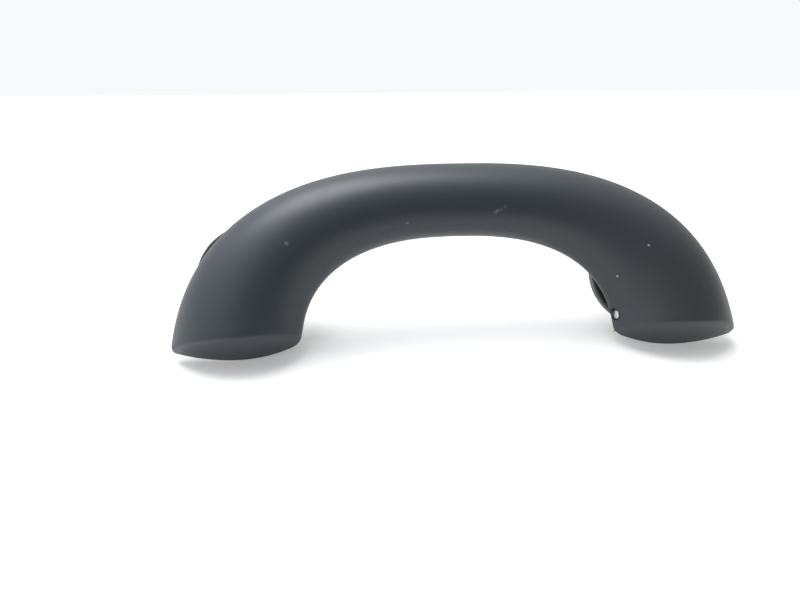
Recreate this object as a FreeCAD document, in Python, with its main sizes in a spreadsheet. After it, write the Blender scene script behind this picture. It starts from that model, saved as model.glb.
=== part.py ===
import FreeCAD, Part
import math
import os
import Sketcher

# Folding grab handle for a vehicle's interior, in millimetres.
# X runs along the handle, -Y faces the cabin, +Y faces the body panel and +Z is up.
# The origin is on the panel, midway between the two screws. The handle is shown stowed.

doc = FreeCAD.newDocument("folding_grab_handle")
sheet = doc.addObject("Spreadsheet::Sheet", "Sizes")
cell_row = 0


class Length:
    """A value together with the spreadsheet expression that gives it."""

    def __init__(self, value, text):
        self.value = value
        self.text = text

    def __add__(self, other):
        other = length_of(other)
        return Length(self.value + other.value, "(" + self.text + " + " + other.text + ")")

    def __sub__(self, other):
        other = length_of(other)
        return Length(self.value - other.value, "(" + self.text + " - " + other.text + ")")

    def __mul__(self, other):
        other = length_of(other)
        return Length(self.value * other.value, "(" + self.text + " * " + other.text + ")")

    def __truediv__(self, other):
        other = length_of(other)
        return Length(self.value / other.value, "(" + self.text + " / " + other.text + ")")

    def __neg__(self):
        return self * -1

    def __radd__(self, other):
        return length_of(other) + self

    def __rsub__(self, other):
        return length_of(other) - self

    def __rmul__(self, other):
        return length_of(other) * self


def length_of(number):
    """A plain number as a Length, and a Length as it is."""
    if isinstance(number, Length):
        return number
    return Length(float(number), "(" + format(float(number), ".10g") + ")")


def sine(angle):
    return Length(math.sin(math.radians(angle.value)), "sin(" + angle.text + " * 1deg)")


def cosine(angle):
    return Length(math.cos(math.radians(angle.value)), "cos(" + angle.text + " * 1deg)")


def root(square):
    return Length(math.sqrt(square.value), "sqrt(" + square.text + ")")


def size(name, value):
    """Write one size into the sheet and give it back as a Length."""
    global cell_row
    cell_row += 1
    value = length_of(value).value
    sheet.set("A" + str(cell_row), name)
    sheet.set("B" + str(cell_row), format(value, ".12g"))
    sheet.setAlias("B" + str(cell_row), name)
    return Length(value, "Sizes." + name)


# Outlines of the arch, seen from the front: superellipses with a level, a span, a rise and a power.
outer_span = size("outer_span", 111.1)
outer_rise = size("outer_rise", 90.6)
outer_level = size("outer_level", -47.8)
outer_power = size("outer_power", 2.59)
inner_span = size("inner_span", 61.2)
inner_rise = size("inner_rise", 44.5)
inner_level = size("inner_level", -29.9)
inner_power = size("inner_power", 2.47)
foot_end_level = size("foot_end_level", -36.0)

# Section of the arch: a crowned front and a flat rim, with a small round between them.
split_y = size("split_y", -16.0)
grip_crown = size("grip_crown", 13.5)
foot_crown = size("foot_crown", 16.5)
edge_radius = size("edge_radius", 1.2)
shell_wall = size("shell_wall", 2.6)
station_pairs = 6
cover_pairs = 4

# Closed end of each foot: a shallow dome that slopes down towards the panel.
foot_inset = size("foot_inset", 0.35)
foot_centre_x = (outer_span + inner_span) / 2 - foot_inset
foot_half_width = (outer_span - inner_span) / 2 - foot_inset
foot_dome = size("foot_dome", 5.7)
foot_low = size("foot_low", -29.7)
foot_slope = size("foot_slope", 27.0)
foot_wall = size("foot_wall", 2.2)
foot_inner_edge = inner_span - size("foot_inner_ease", 0.45)
foot_outer_edge = outer_span - size("foot_outer_ease", 1.0)
foot_inner_round = size("foot_inner_round", 6.5)
foot_outer_round = size("foot_outer_round", 1.8)
foot_inside_round = size("foot_inside_round", 0.8)
foot_margin = size("foot_margin", 6.0)
foot_floor = size("foot_floor", -90.0)

# Rear cover of the arch.
cover_reach = size("cover_reach", 0.56)
cover_crown = size("cover_crown", 7.0)
cover_wall = size("cover_wall", 2.2)
cover_step = size("cover_step", 0.4)

# Hinge: pin axis, mount spacing and the fork on each bracket. Its widths follow the foot's.
mount_inset = size("mount_inset", 5.3)
mount_x = foot_centre_x - mount_inset
pin_y = size("pin_y", -18.0)
pin_z = size("pin_z", -17.6)
pin_radius = size("pin_radius", 2.0)
pin_clearance = size("pin_clearance", 0.05)
pin_fit = size("pin_fit", 0.01)
pin_chamfer = size("pin_chamfer", 0.4)
ear_inner = foot_half_width * size("ear_inner_share", 0.264)
ear_width = foot_half_width * size("ear_width_share", 0.142)
ear_radius = size("ear_radius", 4.3)
ear_slope = size("ear_slope", 50.0)
bush_radius = size("bush_radius", 3.0)
bush_flange_radius = size("bush_flange_radius", 4.1)
bush_flange = size("bush_flange", 0.8)
side_gap = size("side_gap", 0.2)
web_width = foot_half_width * size("web_width_share", 0.102)
web_top = size("web_top", 4.0)

# Bracket plate, rosette and screw cover.
plate_radius = size("plate_radius", 20.9)
plate_thickness = size("plate_thickness", 2.5)
screw_hole_radius = size("screw_hole_radius", 3.3)
peg_radius = size("peg_radius", 2.5)
peg_length = size("peg_length", 4.0)
peg_drop = size("peg_drop", 14.0)
rosette_radius = size("rosette_radius", 22.8)
rosette_depth = size("rosette_depth", 4.0)
rosette_wall = size("rosette_wall", 1.4)
rosette_round = size("rosette_round", 1.0)
trim_gap = size("trim_gap", 0.2)
screw_cover_depth = size("screw_cover_depth", 6.6)
screw_cover_wall = size("screw_cover_wall", 1.2)
screw_cover_round = size("screw_cover_round", 1.0)

# Stops that meet when the handle is stowed.
stop_z = size("stop_z", 14.5)
stop_face_y = size("stop_face_y", -16.2)
stop_post_radius = size("stop_post_radius", 4.0)
stop_post_y = size("stop_post_y", -8.0)
buffer_radius = size("buffer_radius", 3.4)
buffer_tip_radius = size("buffer_tip_radius", 2.6)
buffer_stem_radius = size("buffer_stem_radius", 1.6)
buffer_stem = size("buffer_stem", 4.0)
stop_gap = size("stop_gap", 0.1)
stop_boss_radius = size("stop_boss_radius", 3.5)

# Return spring on the left hinge.
coil_pitch = ear_inner * 0.2
wire_radius = coil_pitch * 0.46
coil_radius = size("coil_radius", 4.3)
coil_turns = 6
spring_leg_slope = size("spring_leg_slope", 20.0)
spring_leg = size("spring_leg", 11.0)
spring_front_leg = size("spring_front_leg", 6.2)
bar_radius = size("bar_radius", 1.5)
bar_reach = size("bar_reach", 9.0)
shelf_wall = size("shelf_wall", 2.0)
shelf_back = size("shelf_back", 3.5)
spool_radius = size("spool_radius", 3.3)

# Damper on the right hinge.
damper_radius = size("damper_radius", 5.75)
damper_bore_radius = size("damper_bore_radius", 4.7)
damper_wall = ear_inner * 0.215
cap_thickness = ear_inner * 0.246
vane_radius = size("vane_radius", 4.4)
vane_width = size("vane_width", 1.8)
rotor_radius = size("rotor_radius", 3.2)
rotor_gap = size("rotor_gap", 0.3)
seal_wire_radius = ear_inner * 0.092
yoke_width = size("yoke_width", 6.0)
yoke_length = ear_inner * 1.23
yoke_prong = size("yoke_prong", 0.9)

# Clip on the end of each pin.
groove_radius = size("groove_radius", 1.5)
clip_radius = size("clip_radius", 4.0)
clip_thickness = size("clip_thickness", 0.7)
clip_slot = size("clip_slot", 2.4)
pin_tail = size("pin_tail", 1.6)

# Screws that hold the rear cover.
inner_screw_share = size("inner_screw_share", 0.15)
outer_screw_share = size("outer_screw_share", 0.43)
post_radius = size("post_radius", 3.2)
screw_radius = size("screw_radius", 1.4)
screw_length = size("screw_length", 9.0)
screw_head_radius = size("screw_head_radius", 2.6)
screw_head = size("screw_head", 1.8)
screw_seat = size("screw_seat", 2.0)
screw_gap = size("screw_gap", 0.2)
screw_tip = size("screw_tip", 0.8)
recess_arm = size("recess_arm", 1.6)
recess_slot = size("recess_slot", 0.4)
recess_deep = size("recess_deep", 1.0)
cover_end = size("cover_end", 0.025)

# Seat of each pin's visible end in the foot's inner cheek.
lug_radius = size("lug_radius", 3.9)
lug_inset = size("lug_inset", 0.8)
pin_recess_radius = size("pin_recess_radius", 2.5)
pin_recess_depth = size("pin_recess_depth", 2.4)
pin_inset = size("pin_inset", 1.0)
pin_end_gap = size("pin_end_gap", 0.05)
blind_inset = size("blind_inset", 3.6)
door_start = size("door_start", 4.0)
door_past_side = size("door_past_side", 4.0)

# Reach of the ribs, which are trimmed by the skin.
rib_depth = size("rib_depth", 40.0)
web_foot = size("web_foot", -45.0)
screw_cover_half_height = size("screw_cover_half_height", 6.9)


def origin_plane(body, role):
    """One of the body's own origin planes."""
    return [feature for feature in body.Origin.OriginFeatures if feature.Role == role][0]


def new_body(label):
    body = doc.addObject("PartDesign::Body", label)
    body.Label = label
    return body


def place(body, x, y, z):
    """Put a body at a point whose coordinates stay bound to the sheet."""
    x, y, z = length_of(x), length_of(y), length_of(z)
    body.Placement = FreeCAD.Placement(FreeCAD.Vector(x.value, y.value, z.value), FreeCAD.Rotation())
    body.setExpression("Placement.Base.x", x.text)
    body.setExpression("Placement.Base.y", y.text)
    body.setExpression("Placement.Base.z", z.text)


def new_sketch(body, name, role, offset=0.0):
    """A sketch on one of the body's origin planes, moved along the plane's normal."""
    sketch = body.newObject("Sketcher::SketchObject", name)
    sketch.AttachmentSupport = [(origin_plane(body, role), "")]
    sketch.MapMode = "FlatFace"
    offset = length_of(offset)
    sketch.AttachmentOffset = FreeCAD.Placement(FreeCAD.Vector(0, 0, offset.value), FreeCAD.Rotation())
    sketch.setExpression("AttachmentOffset.Base.z", offset.text)
    return sketch


def bind(sketch, constraint, value):
    """Add a constraint and bind its value to the sheet."""
    index = sketch.addConstraint(constraint)
    sketch.setExpression("Constraints[" + str(index) + "]", value.text)


def fix_point(sketch, geometry, end, x, y):
    """Hold one point of a sketch at a bound place."""
    bind(sketch, Sketcher.Constraint("DistanceX", -1, 1, geometry, end, x.value), x)
    bind(sketch, Sketcher.Constraint("DistanceY", -1, 1, geometry, end, y.value), y)


def draw_polygon(sketch, points):
    """Draw a closed outline of straight lines through bound points."""
    points = [(length_of(x), length_of(y)) for x, y in points]
    first = sketch.GeometryCount
    count = len(points)
    for index in range(count):
        x1, y1 = points[index]
        x2, y2 = points[(index + 1) % count]
        start = FreeCAD.Vector(x1.value, y1.value, 0)
        end = FreeCAD.Vector(x2.value, y2.value, 0)
        sketch.addGeometry(Part.LineSegment(start, end), False)
    for index in range(count):
        following = first + (index + 1) % count
        sketch.addConstraint(Sketcher.Constraint("Coincident", first + index, 2, following, 1))
    for index, (x, y) in enumerate(points):
        fix_point(sketch, first + index, 1, x, y)


def draw_circle(sketch, x, y, radius):
    """Draw a circle with a bound centre and radius."""
    x, y = length_of(x), length_of(y)
    centre = FreeCAD.Vector(x.value, y.value, 0)
    index = sketch.addGeometry(Part.Circle(centre, FreeCAD.Vector(0, 0, 1), radius.value), False)
    fix_point(sketch, index, 3, x, y)
    bind(sketch, Sketcher.Constraint("Radius", index, radius.value), radius)


def draw_box(sketch, x1, x2, y1, y2):
    draw_polygon(sketch, [(x1, y1), (x2, y1), (x2, y2), (x1, y2)])


def pad(body, sketch, name, depth, both_ways=False, backwards=False):
    """Raise a sketch into a solid, along its normal unless it is turned backwards."""
    feature = body.newObject("PartDesign::Pad", name)
    feature.Profile = sketch
    feature.Length = length_of(depth).value
    feature.setExpression("Length", length_of(depth).text)
    feature.SideType = "Symmetric" if both_ways else "One side"
    feature.Reversed = backwards
    doc.recompute()
    return feature


def pocket(body, sketch, name, depth, both_ways=False, backwards=False):
    """Cut a sketch out of the body, and make sure that the cut takes something away."""
    before = body.Shape.Volume
    feature = body.newObject("PartDesign::Pocket", name)
    feature.Profile = sketch
    feature.Length = length_of(depth).value
    feature.setExpression("Length", length_of(depth).text)
    feature.SideType = "Symmetric" if both_ways else "One side"
    feature.Reversed = backwards
    doc.recompute()
    if body.Shape.Volume > before - 0.01:
        raise RuntimeError(name + " cuts nothing")
    return feature


def revolve(body, sketch, name, axis):
    """Turn a half profile about one of the sketch's own axes."""
    feature = body.newObject("PartDesign::Revolution", name)
    feature.Profile = sketch
    feature.ReferenceAxis = (sketch, [axis])
    feature.Angle = 360
    doc.recompute()
    return feature


def turned_piece(label, points, axis, x, y, z):
    """A turned piece from its half profile: along X about H_Axis, or along Y about V_Axis."""
    body = new_body(label)
    sketch = new_sketch(body, label + "_profile", "XY_Plane")
    draw_polygon(sketch, points)
    revolve(body, sketch, label + "_turn", axis)
    place(body, x, y, z)
    return body


def boolean(kind, label, base, tool):
    """A Part cut, common or fuse of two objects."""
    feature = doc.addObject("Part::" + kind, label)
    if kind in ("Cut", "Common", "Fuse"):
        feature.Base = base
        feature.Tool = tool
    doc.recompute()
    return feature


# Stations along the arch. Each pairs a point on the outer outline with one on the inner outline,
# at the same share of each outline's length from the crown to the foot.
def superellipse_quarter(span, rise, level, power, lowest):
    """Points of one half outline, from the crown down to the lowest level."""
    steps = 600
    points = []
    for step in range(steps + 1):
        turn = math.pi / 2 * (1 - step / steps)
        x = span.value * math.cos(turn) ** (2 / power.value)
        z = level.value + rise.value * max(math.sin(turn), 0.0) ** (2 / power.value)
        if z < lowest.value:
            break
        points.append((x, z))
    points.append((points[-1][0], lowest.value))
    return points


def point_at_share(points, share):
    """The point at a share of an outline's length."""
    lengths = [0.0]
    for (x1, z1), (x2, z2) in zip(points, points[1:]):
        lengths.append(lengths[-1] + math.hypot(x2 - x1, z2 - z1))
    wanted = share * lengths[-1]
    for index in range(1, len(points)):
        if lengths[index] >= wanted or index == len(points) - 1:
            part = (wanted - lengths[index - 1]) / (lengths[index] - lengths[index - 1])
            x1, z1 = points[index - 1]
            x2, z2 = points[index]
            return x1 + part * (x2 - x1), z1 + part * (z2 - z1)


outer_outline = superellipse_quarter(outer_span, outer_rise, outer_level, outer_power, foot_end_level)
inner_outline = superellipse_quarter(inner_span, inner_rise, inner_level, inner_power, foot_end_level)


class Station:
    """Where one section of the arch stands: its centre, its lean, its half width and its crown."""

    def __init__(self, name, share):
        outer_x, outer_z = point_at_share(outer_outline, abs(share))
        inner_x, inner_z = point_at_share(inner_outline, abs(share))
        side = -1 if share < 0 else 1
        blend = (1 - math.cos(math.pi * abs(share))) / 2
        lean = math.degrees(math.atan2(side * (outer_x - inner_x), outer_z - inner_z))
        self.name = name
        self.x = size(name + "_x", side * (outer_x + inner_x) / 2)
        self.z = size(name + "_z", (outer_z + inner_z) / 2)
        self.lean = size(name + "_lean", lean - 90)
        self.half = size(name + "_half", math.hypot(outer_x - inner_x, outer_z - inner_z) / 2)
        self.crown = size(name + "_crown", grip_crown.value * (1 - blend) + foot_crown.value * blend)


def station_sketch(body, station, name):
    """A sketch across the arch at a station: its X points outwards and its Y is the part's Y."""
    sketch = body.newObject("Sketcher::SketchObject", name)
    sketch.AttachmentSupport = [(origin_plane(body, "XY_Plane"), "")]
    sketch.MapMode = "FlatFace"
    base = FreeCAD.Vector(station.x.value, split_y.value, station.z.value)
    turn = FreeCAD.Rotation(FreeCAD.Vector(0, 1, 0), station.lean.value)
    sketch.AttachmentOffset = FreeCAD.Placement(base, turn)
    sketch.setExpression("AttachmentOffset.Base.x", station.x.text)
    sketch.setExpression("AttachmentOffset.Base.y", split_y.text)
    sketch.setExpression("AttachmentOffset.Base.z", station.z.text)
    return sketch


def draw_skin_section(sketch, station):
    """Crowned front, two small rounds and the flat rim, all tangent but for the rim's corners."""
    half = station.half.value - edge_radius.value
    crown = station.crown.value
    rounding = edge_radius.value
    front_radius = (half ** 2 + crown ** 2 - rounding ** 2) / (2 * (crown - rounding))
    centre_y = front_radius - crown
    edge_angle = math.atan2(-centre_y, half)
    up = FreeCAD.Vector(0, 0, 1)
    front = Part.Circle(FreeCAD.Vector(0, centre_y, 0), up, front_radius)
    right = Part.Circle(FreeCAD.Vector(half, 0, 0), up, rounding)
    left = Part.Circle(FreeCAD.Vector(-half, 0, 0), up, rounding)
    sketch.addGeometry(Part.ArcOfCircle(front, math.pi - edge_angle, 2 * math.pi + edge_angle), False)
    sketch.addGeometry(Part.ArcOfCircle(right, edge_angle, math.pi / 2), False)
    rim_right = FreeCAD.Vector(half, rounding, 0)
    rim_left = FreeCAD.Vector(-half, rounding, 0)
    sketch.addGeometry(Part.LineSegment(rim_right, rim_left), False)
    sketch.addGeometry(Part.ArcOfCircle(left, math.pi / 2, math.pi - edge_angle), False)
    sketch.addConstraint(Sketcher.Constraint("Tangent", 0, 2, 1, 1))
    sketch.addConstraint(Sketcher.Constraint("Tangent", 1, 2, 2, 1))
    sketch.addConstraint(Sketcher.Constraint("Tangent", 2, 2, 3, 1))
    sketch.addConstraint(Sketcher.Constraint("Tangent", 3, 2, 0, 1))
    sketch.addConstraint(Sketcher.Constraint("PointOnObject", 1, 3, -1))
    sketch.addConstraint(Sketcher.Constraint("Symmetric", 1, 3, 3, 3, -2))
    bind(sketch, Sketcher.Constraint("Radius", 1, rounding), edge_radius)
    bind(sketch, Sketcher.Constraint("DistanceX", -1, 1, 1, 3, half), station.half - edge_radius)
    inner_part = (station.half - edge_radius) * (station.half - edge_radius)
    crown_part = station.crown * station.crown - edge_radius * edge_radius
    radius = (inner_part + crown_part) / (2 * (station.crown - edge_radius))
    bind(sketch, Sketcher.Constraint("Radius", 0, radius.value), radius)


def draw_hollow_section(sketch, station):
    """The hollow inside the skin: a crowned front, and straight sides past the rim."""
    half = station.half - shell_wall
    crown = station.crown - shell_wall
    radius = (half * half + crown * crown) / (2 * crown)
    past_rim = edge_radius + 1
    angle = math.atan2(crown.value - radius.value, half.value)
    circle = Part.Circle(FreeCAD.Vector(0, radius.value - crown.value, 0), FreeCAD.Vector(0, 0, 1), radius.value)
    sketch.addGeometry(Part.ArcOfCircle(circle, math.pi - angle, 2 * math.pi + angle), False)
    corners = [(half, length_of(0)), (half, past_rim), (-half, past_rim), (-half, length_of(0))]
    for (x1, y1), (x2, y2) in zip(corners, corners[1:]):
        start = FreeCAD.Vector(x1.value, y1.value, 0)
        end = FreeCAD.Vector(x2.value, y2.value, 0)
        sketch.addGeometry(Part.LineSegment(start, end), False)
    for index in range(4):
        sketch.addConstraint(Sketcher.Constraint("Coincident", index, 2, (index + 1) % 4, 1))
    fix_point(sketch, 1, 1, half, length_of(0))
    fix_point(sketch, 2, 1, half, past_rim)
    fix_point(sketch, 3, 1, -half, past_rim)
    fix_point(sketch, 3, 2, -half, length_of(0))
    bind(sketch, Sketcher.Constraint("Radius", 0, radius.value), radius)


def draw_cover_section(sketch, station, wall):
    """The rear cover's section: flat on the rim, with a low crown behind it."""
    half = station.half - edge_radius - cover_step - wall
    crown = cover_crown - edge_radius - wall
    radius = (half * half + crown * crown) / (2 * crown)
    centre_y = edge_radius.value + crown.value - radius.value
    angle = math.atan2(radius.value - crown.value, half.value)
    circle = Part.Circle(FreeCAD.Vector(0, centre_y, 0), FreeCAD.Vector(0, 0, 1), radius.value)
    sketch.addGeometry(Part.ArcOfCircle(circle, angle, math.pi - angle), False)
    left = FreeCAD.Vector(-half.value, edge_radius.value, 0)
    right = FreeCAD.Vector(half.value, edge_radius.value, 0)
    sketch.addGeometry(Part.LineSegment(left, right), False)
    sketch.addConstraint(Sketcher.Constraint("Coincident", 0, 2, 1, 1))
    sketch.addConstraint(Sketcher.Constraint("Coincident", 1, 2, 0, 1))
    fix_point(sketch, 1, 1, -half, edge_radius)
    fix_point(sketch, 1, 2, half, edge_radius)
    bind(sketch, Sketcher.Constraint("Radius", 0, radius.value), radius)


def loft_through(body, name, sketches, kind="AdditiveLoft"):
    loft = body.newObject("PartDesign::" + kind, name)
    loft.Profile = sketches[0]
    loft.Sections = sketches[1:]
    loft.Ruled = False
    loft.Closed = False
    doc.recompute()
    return loft


def foot_corner(reach, rounding, dome_radius):
    """A corner round that meets the dome: how far in and down its centre is, and where the two touch."""
    inwards = reach - rounding
    between = dome_radius - rounding
    drop = root(between * between - inwards * inwards)
    touch = inwards * dome_radius / between
    return inwards, drop, touch


def foot_cut(body, name, lift, inset, inner_round, outer_round):
    """Cut both feet off along a shallow dome with rounded corners that slopes down towards the panel."""
    slope = math.radians(foot_slope.value)
    sketch = new_sketch(body, name + "_sketch", "XZ_Plane", -split_y)
    dome_radius = (foot_half_width * foot_half_width + foot_dome * foot_dome) / (2 * foot_dome)
    centre_z = foot_low + lift + dome_radius
    inner_reach = foot_centre_x - foot_inner_edge - inset
    outer_reach = foot_outer_edge - foot_centre_x - inset
    up = FreeCAD.Vector(0, 0, 1)
    for side in (-1, 1):
        middle = foot_centre_x * side
        left_reach, left_round = (outer_reach, outer_round) if side < 0 else (inner_reach, inner_round)
        right_reach, right_round = (inner_reach, inner_round) if side < 0 else (outer_reach, outer_round)
        left_in, left_drop, left_touch = foot_corner(left_reach, left_round, dome_radius)
        right_in, right_drop, right_touch = foot_corner(right_reach, right_round, dome_radius)
        left_centre = (middle - left_in, centre_z - left_drop)
        right_centre = (middle + right_in, centre_z - right_drop)
        left_turn = math.atan2(-left_drop.value, -left_in.value) + 2 * math.pi
        right_turn = math.atan2(-right_drop.value, right_in.value) + 2 * math.pi
        rounds = (
            (left_centre, left_round, math.pi, left_turn),
            ((middle, centre_z), dome_radius, left_turn, right_turn),
            (right_centre, right_round, right_turn, 2 * math.pi),
        )
        first = sketch.GeometryCount
        for (x, z), radius, start, end in rounds:
            circle = Part.Circle(FreeCAD.Vector(x.value, z.value, 0), up, radius.value)
            sketch.addGeometry(Part.ArcOfCircle(circle, start, end), False)
        corners = [
            (middle + right_reach, right_centre[1]),
            (middle + right_reach + foot_margin, right_centre[1]),
            (middle + right_reach + foot_margin, foot_floor),
            (middle - left_reach - foot_margin, foot_floor),
            (middle - left_reach - foot_margin, left_centre[1]),
            (middle - left_reach, left_centre[1]),
        ]
        for (x1, z1), (x2, z2) in zip(corners, corners[1:]):
            start = FreeCAD.Vector(x1.value, z1.value, 0)
            end = FreeCAD.Vector(x2.value, z2.value, 0)
            sketch.addGeometry(Part.LineSegment(start, end), False)
        for index in range(8):
            following = first + (index + 1) % 8
            sketch.addConstraint(Sketcher.Constraint("Coincident", first + index, 2, following, 1))
        for index, ((x, z), radius, start, end) in enumerate(rounds):
            fix_point(sketch, first + index, 3, x, z)
        bind(sketch, Sketcher.Constraint("Radius", first + 1, dome_radius.value), dome_radius)
        left_meeting = middle - left_touch
        right_meeting = middle + right_touch
        bind(sketch, Sketcher.Constraint("DistanceX", -1, 1, first + 1, 1, left_meeting.value), left_meeting)
        bind(sketch, Sketcher.Constraint("DistanceX", -1, 1, first + 1, 2, right_meeting.value), right_meeting)
        for index, (x, z) in enumerate(corners[1:-1]):
            fix_point(sketch, first + 3 + index, 2, x, z)
        sketch.addConstraint(Sketcher.Constraint("Horizontal", first + 3))
        sketch.addConstraint(Sketcher.Constraint("Horizontal", first + 7))
    before = body.Shape.Volume
    feature = body.newObject("PartDesign::Pocket", name)
    feature.Profile = sketch
    feature.UseCustomVector = True
    feature.Direction = FreeCAD.Vector(0, -math.cos(slope), math.sin(slope))
    feature.AlongSketchNormal = False
    feature.SideType = "Symmetric"
    feature.Length = 160
    doc.recompute()
    if body.Shape.Volume > before - 0.01:
        raise RuntimeError(name + " cuts nothing")
    return feature


def outline_x_at(points, z):
    """How far out an outline lies at one level, below its crown."""
    for (x1, z1), (x2, z2) in zip(points, points[1:]):
        if z1 >= z >= z2 and z1 > z2:
            return x1 + (x2 - x1) * (z1 - z) / (z1 - z2)


def stations_within(name, pairs, reach):
    """Stations on both sides of the crown, out to a share of the arch."""
    result = []
    for index in range(2 * pairs + 1):
        share = reach * (index - pairs) / pairs
        result.append(Station(name + format(index, "02d"), share))
    return result


stations = stations_within("station_", station_pairs, 1.0)
cover_stations = stations_within("cover_station_", cover_pairs, cover_reach.value)
cover_hollow_stations = stations_within("cover_inside_", cover_pairs, cover_reach.value - cover_end.value)
screw_stations = {
    "left_outer": Station("left_outer_screw", -outer_screw_share.value),
    "left_inner": Station("left_inner_screw", -inner_screw_share.value),
    "right_inner": Station("right_inner_screw", inner_screw_share.value),
    "right_outer": Station("right_outer_screw", outer_screw_share.value),
}

# Places worked out from the sizes above.
cheek_x = size("cheek_x", outline_x_at(inner_outline, pin_z.value))
rim_y = split_y + edge_radius
ear_outer = ear_inner + ear_width
web_inner = ear_outer + bush_flange + side_gap
web_outer = web_inner + web_width
bore_radius = pin_radius + pin_clearance

# Front shell: the skin, less its hollow, with webs, posts and bosses inside.
skin = new_body("grip_skin")
skin_sketches = []
for station in stations:
    sketch = station_sketch(skin, station, "skin_" + station.name)
    draw_skin_section(sketch, station)
    skin_sketches.append(sketch)
loft_through(skin, "skin_loft", skin_sketches)
foot_cut(skin, "skin_feet", length_of(0), length_of(0), foot_inner_round, foot_outer_round)

hollow = new_body("grip_hollow")
hollow_sketches = []
for station in stations:
    sketch = station_sketch(hollow, station, "hollow_" + station.name)
    draw_hollow_section(sketch, station)
    hollow_sketches.append(sketch)
loft_through(hollow, "hollow_loft", hollow_sketches)
foot_lift = foot_wall / cosine(foot_slope)
foot_cut(hollow, "hollow_feet", foot_lift, shell_wall, foot_inside_round, foot_inside_round)

# Inside the front shell: hinge webs, cross ribs, screw posts, spring shelves and stop bosses.
inside = new_body("grip_inside")
inside.AllowCompound = True
web_sketch = new_sketch(inside, "web_sketch", "XZ_Plane", -rim_y)
for side in (-1, 1):
    for way in (-1, 1):
        near = mount_x * side + web_inner * way
        far = mount_x * side + web_outer * way
        if side == way:
            draw_box(web_sketch, near, far, web_foot, web_top)
        else:
            draw_box(web_sketch, far, near, web_foot, web_top)
pad(inside, web_sketch, "webs", rib_depth)
post_sketch = new_sketch(inside, "post_sketch", "XZ_Plane", -rim_y)
for name, station in screw_stations.items():
    draw_circle(post_sketch, station.x, station.z, post_radius)
pad(inside, post_sketch, "posts", rib_depth)
boss_sketch = new_sketch(inside, "boss_sketch", "XZ_Plane", -stop_face_y)
for side in (-1, 1):
    draw_circle(boss_sketch, mount_x * side, stop_z, stop_boss_radius)
pad(inside, boss_sketch, "stop_bosses", rib_depth)
shelf_low = pin_z + coil_radius + wire_radius
shelf_sketch = new_sketch(inside, "shelf_sketch", "XZ_Plane", shelf_back - pin_y)
for side in (-1, 1):
    left_edge = mount_x * side - web_inner - 0.5
    right_edge = mount_x * side + web_inner + 0.5
    draw_box(shelf_sketch, left_edge, right_edge, shelf_low, shelf_low + shelf_wall)
pad(inside, shelf_sketch, "spring_shelves", rib_depth)
for side, hand in ((-1, "left"), (1, "right")):
    seat_sketch = new_sketch(inside, hand + "_seat_sketch", "YZ_Plane", cheek_x * side)
    draw_circle(seat_sketch, pin_y, pin_z, lug_radius)
    pad(inside, seat_sketch, hand + "_pin_seat", mount_x - web_inner - cheek_x - 0.5, backwards=(side < 0))

walls = boolean("Cut", "grip_walls", skin, hollow)
trimmed = boolean("Common", "grip_inside_trimmed", inside, skin)
joined = boolean("Fuse", "grip_joined", walls, trimmed)

# Behind the rim each pin seat swells into a low half-round lug. Both pins are driven in from the left,
# so the right leg has the way in on its inner cheek and the left leg has it on its outer side.
for side, hand in ((-1, "left"), (1, "right")):
    lug = new_body(hand + "_lug")
    lug_sketch = new_sketch(lug, hand + "_lug_sketch", "YZ_Plane", (cheek_x + lug_inset) * side)
    draw_circle(lug_sketch, pin_y, pin_z, lug_radius)
    lug_length = mount_x - web_inner - cheek_x - lug_inset - 0.5
    pad(lug, lug_sketch, hand + "_lug_pad", lug_length, backwards=(side < 0))
    front_sketch = new_sketch(lug, hand + "_lug_front", "YZ_Plane", mount_x * side)
    draw_box(front_sketch, pin_y - lug_radius * 2, pin_y, pin_z - lug_radius * 2, pin_z + lug_radius * 2)
    pocket(lug, front_sketch, hand + "_lug_cut", mount_x * 2, both_ways=True)
    joined = boolean("Fuse", hand + "_lug_joined", joined, lug)
    bore_start = cheek_x + (pin_recess_depth if side > 0 else blind_inset)
    hole_points = [
        (bore_start * side, 0),
        (bore_start * side, pin_radius + pin_fit),
        ((mount_x + web_outer + 1) * side, pin_radius + pin_fit),
        ((mount_x + web_outer + 1) * side, 0),
    ]
    hole = turned_piece(hand + "_pin_hole", hole_points, "H_Axis", 0, pin_y, pin_z)
    joined = boolean("Cut", hand + "_pin_hole_cut", joined, hole)
    if side > 0:
        way_in = (cheek_x - 6, bore_start)
    else:
        way_in = (-(mount_x + web_outer + door_start), -(outer_span + door_past_side))
    way_points = [(way_in[0], 0), (way_in[0], pin_recess_radius), (way_in[1], pin_recess_radius), (way_in[1], 0)]
    way = turned_piece(hand + "_pin_way", way_points, "H_Axis", 0, pin_y, pin_z)
    joined = boolean("Cut", hand + "_pin_way_cut", joined, way)
pilot_depth = screw_length - screw_seat + 1
for name, station in screw_stations.items():
    points = [(0, 0), (screw_radius, 0), (screw_radius, -pilot_depth), (0, -pilot_depth)]
    hole = turned_piece(name + "_pilot", points, "V_Axis", station.x, rim_y, station.z)
    joined = boolean("Cut", name + "_pilot_cut", joined, hole)
pieces = {"grip_front_shell": joined}

# Rear cover: a low crowned shell that closes the back of the arch between the hinges.
def cover_loft(label, places, wall):
    body = new_body(label)
    sketches = []
    for station in places:
        sketch = station_sketch(body, station, label + "_" + station.name)
        draw_cover_section(sketch, station, wall)
        sketches.append(sketch)
    loft_through(body, label + "_loft", sketches)
    return body


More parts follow.
